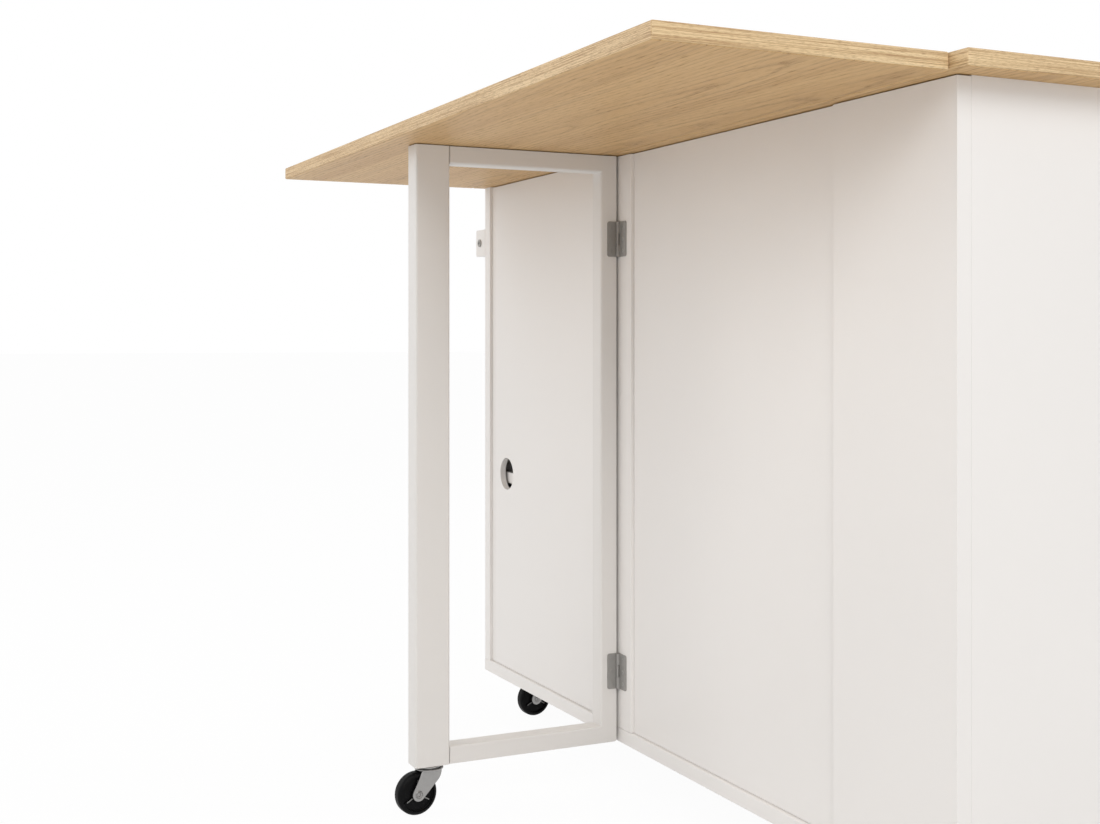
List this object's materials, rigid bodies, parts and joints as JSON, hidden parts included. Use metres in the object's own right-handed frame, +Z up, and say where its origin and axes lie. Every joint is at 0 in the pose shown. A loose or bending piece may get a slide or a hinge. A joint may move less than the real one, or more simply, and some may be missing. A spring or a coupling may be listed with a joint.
{
  "type": "kitchen table",
  "caption": "Rolling kitchen table with a storage cabinet under an oak top, and a raised rear leaf carried by a swing-out gate leg.",
  "frame": {"origin": "on the floor under the middle of the whole table, with the leaf raised and the gate leg swung out", "axes": "+X along the cabinet towards the end with the towel rack, +Y from the doors to the raised leaf, +Z up"},
  "size_m": [1.266, 0.7904, 0.914],
  "materials": {
    "oak": "light oak, satin oiled",
    "white_lacquer": "satin white lacquer on board",
    "drawer_board": "clear lacquered birch ply",
    "zinc_steel": "dull zinc plated",
    "brushed_nickel": "brushed nickel",
    "fork_steel": "grey zinc plated pressing",
    "wheel_plastic": "near black moulded plastic"
  },
  "bodies": {
    "cabinet": {"main_top": "oak", "drop_leaf": "oak", "leaf_hinge_housings_top": "zinc_steel", "leaf_hinge_housings_leaf": "zinc_steel", "leaf_hinge_links": "zinc_steel", "right_side": "white_lacquer", "left_side": "white_lacquer", "bottom_board": "white_lacquer", "back_stile": "white_lacquer", "back_end_board": "white_lacquer", "back_panel_left": "white_lacquer", "back_panel_right": "white_lacquer", "divider": "white_lacquer", "top_rails": "white_lacquer", "drawer_rail_wide": "white_lacquer", "drawer_rail_narrow": "white_lacquer", "shelf_wide": "white_lacquer", "shelf_narrow": "white_lacquer", "shelf_pins": "zinc_steel", "cabinet_runners": "zinc_steel", "towel_rack_blocks": "white_lacquer", "towel_bar": "brushed_nickel", "gate_hinge_fixed_leaves": "zinc_steel", "door_hinge_fixed_leaves": "zinc_steel", "cabinet_screws": "zinc_steel", "caster_stems": "zinc_steel"},
    "gate": {"gate_outer_post": "white_lacquer", "gate_hinge_post": "white_lacquer", "gate_bottom_rail": "white_lacquer", "gate_top_rail": "white_lacquer", "gate_hinge_moving_leaves": "zinc_steel", "gate_screws": "zinc_steel", "gate_caster_stem": "zinc_steel"},
    "door_left": {"door_left": "white_lacquer", "door_left_hinge_leaves": "zinc_steel", "door_left_pull": "brushed_nickel"},
    "door_middle": {"door_middle": "white_lacquer", "door_middle_hinge_leaves": "zinc_steel", "door_middle_pull": "brushed_nickel"},
    "door_right": {"door_right": "white_lacquer", "door_right_hinge_leaves": "zinc_steel", "door_right_pull": "brushed_nickel"},
    "drawer_wide": {"drawer_wide_front": "white_lacquer", "drawer_wide_box": "drawer_board", "drawer_wide_pull": "brushed_nickel", "drawer_wide_runners": "zinc_steel"},
    "drawer_narrow": {"drawer_narrow_front": "white_lacquer", "drawer_narrow_box": "drawer_board", "drawer_narrow_pull": "brushed_nickel", "drawer_narrow_runners": "zinc_steel"},
    "caster_back_right_swivel": {"caster_back_right_fork": "fork_steel"},
    "caster_back_right_roller": {"caster_back_right_wheel": "wheel_plastic"},
    "caster_back_left_swivel": {"caster_back_left_fork": "fork_steel"},
    "caster_back_left_roller": {"caster_back_left_wheel": "wheel_plastic"},
    "caster_front_right_swivel": {"caster_front_right_fork": "fork_steel"},
    "caster_front_right_roller": {"caster_front_right_wheel": "wheel_plastic"},
    "caster_front_left_swivel": {"caster_front_left_fork": "fork_steel"},
    "caster_front_left_roller": {"caster_front_left_wheel": "wheel_plastic"},
    "caster_gate_swivel": {"caster_gate_fork": "fork_steel"},
    "caster_gate_roller": {"caster_gate_wheel": "wheel_plastic"}
  },
  "joints": [
    {"name": "gate_swing", "type": "hinge", "parent": "cabinet", "child": "gate", "pos_m": [0.1015, 0.04975, 0.471], "axis": [0, 0, 1], "range_deg": [0, 90]},
    {"name": "door_left_swing", "type": "hinge", "parent": "cabinet", "child": "door_left", "pos_m": [-0.57375, -0.37015, 0.4], "axis": [0, 0, -1], "range_deg": [0, 105]},
    {"name": "door_middle_swing", "type": "hinge", "parent": "cabinet", "child": "door_middle", "pos_m": [0.11825, -0.37015, 0.4], "axis": [0, 0, 1], "range_deg": [0, 105]},
    {"name": "door_right_swing", "type": "hinge", "parent": "cabinet", "child": "door_right", "pos_m": [0.56975, -0.37015, 0.4], "axis": [0, 0, 1], "range_deg": [0, 105]},
    {"name": "drawer_wide_slide", "type": "slide", "parent": "cabinet", "child": "drawer_wide", "axis": [0, -1, 0], "range_m": [0, 0.3]},
    {"name": "drawer_narrow_slide", "type": "slide", "parent": "cabinet", "child": "drawer_narrow", "axis": [0, -1, 0], "range_m": [0, 0.3]},
    {"name": "caster_back_right_turn", "type": "hinge", "parent": "cabinet", "child": "caster_back_right_swivel", "pos_m": [0.51, -0.02625, 0.0645], "axis": [0, 0, 1], "continuous": true},
    {"name": "caster_back_right_roll", "type": "hinge", "parent": "caster_back_right_swivel", "child": "caster_back_right_roller", "pos_m": [0.5083, -0.00682, 0.0285], "axis": [-0.9962, -0.0872, 0], "continuous": true},
    {"name": "caster_back_left_turn", "type": "hinge", "parent": "cabinet", "child": "caster_back_left_swivel", "pos_m": [-0.514, -0.02625, 0.0645], "axis": [0, 0, 1], "continuous": true},
    {"name": "caster_back_left_roll", "type": "hinge", "parent": "caster_back_left_swivel", "child": "caster_back_left_roller", "pos_m": [-0.5157, -0.00682, 0.0285], "axis": [-0.9962, -0.0872, 0], "continuous": true},
    {"name": "caster_front_right_turn", "type": "hinge", "parent": "cabinet", "child": "caster_front_right_swivel", "pos_m": [0.51, -0.29425, 0.0645], "axis": [0, 0, 1], "continuous": true},
    {"name": "caster_front_right_roll", "type": "hinge", "parent": "caster_front_right_swivel", "child": "caster_front_right_roller", "pos_m": [0.5083, -0.27482, 0.0285], "axis": [-0.9962, -0.0872, 0], "continuous": true},
    {"name": "caster_front_left_turn", "type": "hinge", "parent": "cabinet", "child": "caster_front_left_swivel", "pos_m": [-0.514, -0.29425, 0.0645], "axis": [0, 0, 1], "continuous": true},
    {"name": "caster_front_left_roll", "type": "hinge", "parent": "caster_front_left_swivel", "child": "caster_front_left_roller", "pos_m": [-0.5157, -0.27482, 0.0285], "axis": [-0.9962, -0.0872, 0], "continuous": true},
    {"name": "caster_gate_turn", "type": "hinge", "parent": "gate", "child": "caster_gate_swivel", "pos_m": [0.1185, 0.32825, 0.0645], "axis": [0, 0, 1], "continuous": true},
    {"name": "caster_gate_roll", "type": "hinge", "parent": "caster_gate_swivel", "child": "caster_gate_roller", "pos_m": [0.1168, 0.34768, 0.0285], "axis": [-0.9962, -0.0872, 0], "continuous": true}
  ]
}
